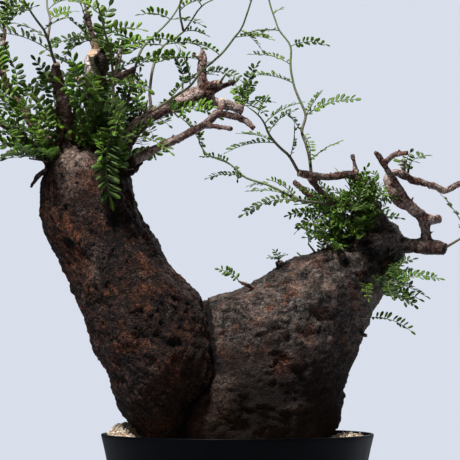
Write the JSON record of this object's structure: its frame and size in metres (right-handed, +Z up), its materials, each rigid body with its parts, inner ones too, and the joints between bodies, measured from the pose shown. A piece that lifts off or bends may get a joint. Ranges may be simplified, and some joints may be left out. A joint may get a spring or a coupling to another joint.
{
  "type": "potted operculicarya pachypus bonsai tree",
  "caption": "Swollen forked caudex with rough bark, pruned branches and shoots of small pinnate leaves, standing in a round tapered pot of grit.",
  "frame": {"origin": "middle of the pot's flat underside, on the surface that the pot stands on", "axes": "+Z up, -Y towards the picture's camera, +X to the picture's right"},
  "size_m": [0.416, 0.205, 0.516],
  "materials": {
    "pot_plastic": "satin",
    "grit": "matte",
    "bark": "matte",
    "foliage": "satin"
  },
  "bodies": {
    "root": {"pot": "pot_plastic", "soil": "grit", "caudex_and_branches": "bark", "shoot_left_whip": "foliage", "shoot_left_top": "foliage", "shoot_left_middle": "foliage", "shoot_left_inner": "foliage", "shoot_left_fork": "foliage", "shoot_long_whip": "foliage", "shoot_right_whip": "foliage", "shoot_middle": "foliage", "shoot_low_left": "foliage", "shoot_short_01": "foliage", "shoot_short_02": "foliage", "shoot_short_03": "foliage", "shoot_short_04": "foliage", "shoot_short_05": "foliage", "shoot_short_06": "foliage", "shoot_short_07": "foliage", "shoot_short_08": "foliage", "shoot_short_09": "foliage", "shoot_short_10": "foliage", "shoot_short_11": "foliage", "shoot_short_12": "foliage", "shoot_short_13": "foliage", "shoot_short_14": "foliage", "shoot_short_15": "foliage", "shoot_short_16": "foliage", "shoot_short_17": "foliage", "shoot_short_18": "foliage", "shoot_short_19": "foliage", "shoot_short_20": "foliage", "shoot_short_21": "foliage", "shoot_short_22": "foliage", "shoot_short_23": "foliage", "shoot_short_24": "foliage", "shoot_short_25": "foliage", "shoot_short_26": "foliage", "shoot_short_27": "foliage", "shoot_short_28": "foliage", "shoot_short_29": "foliage", "shoot_short_30": "foliage", "shoot_short_31": "foliage", "shoot_short_32": "foliage", "shoot_short_33": "foliage", "shoot_short_34": "foliage", "shoot_short_35": "foliage", "shoot_short_36": "foliage", "shoot_short_37": "foliage", "shoot_short_38": "foliage"}
  },
  "joints": []
}
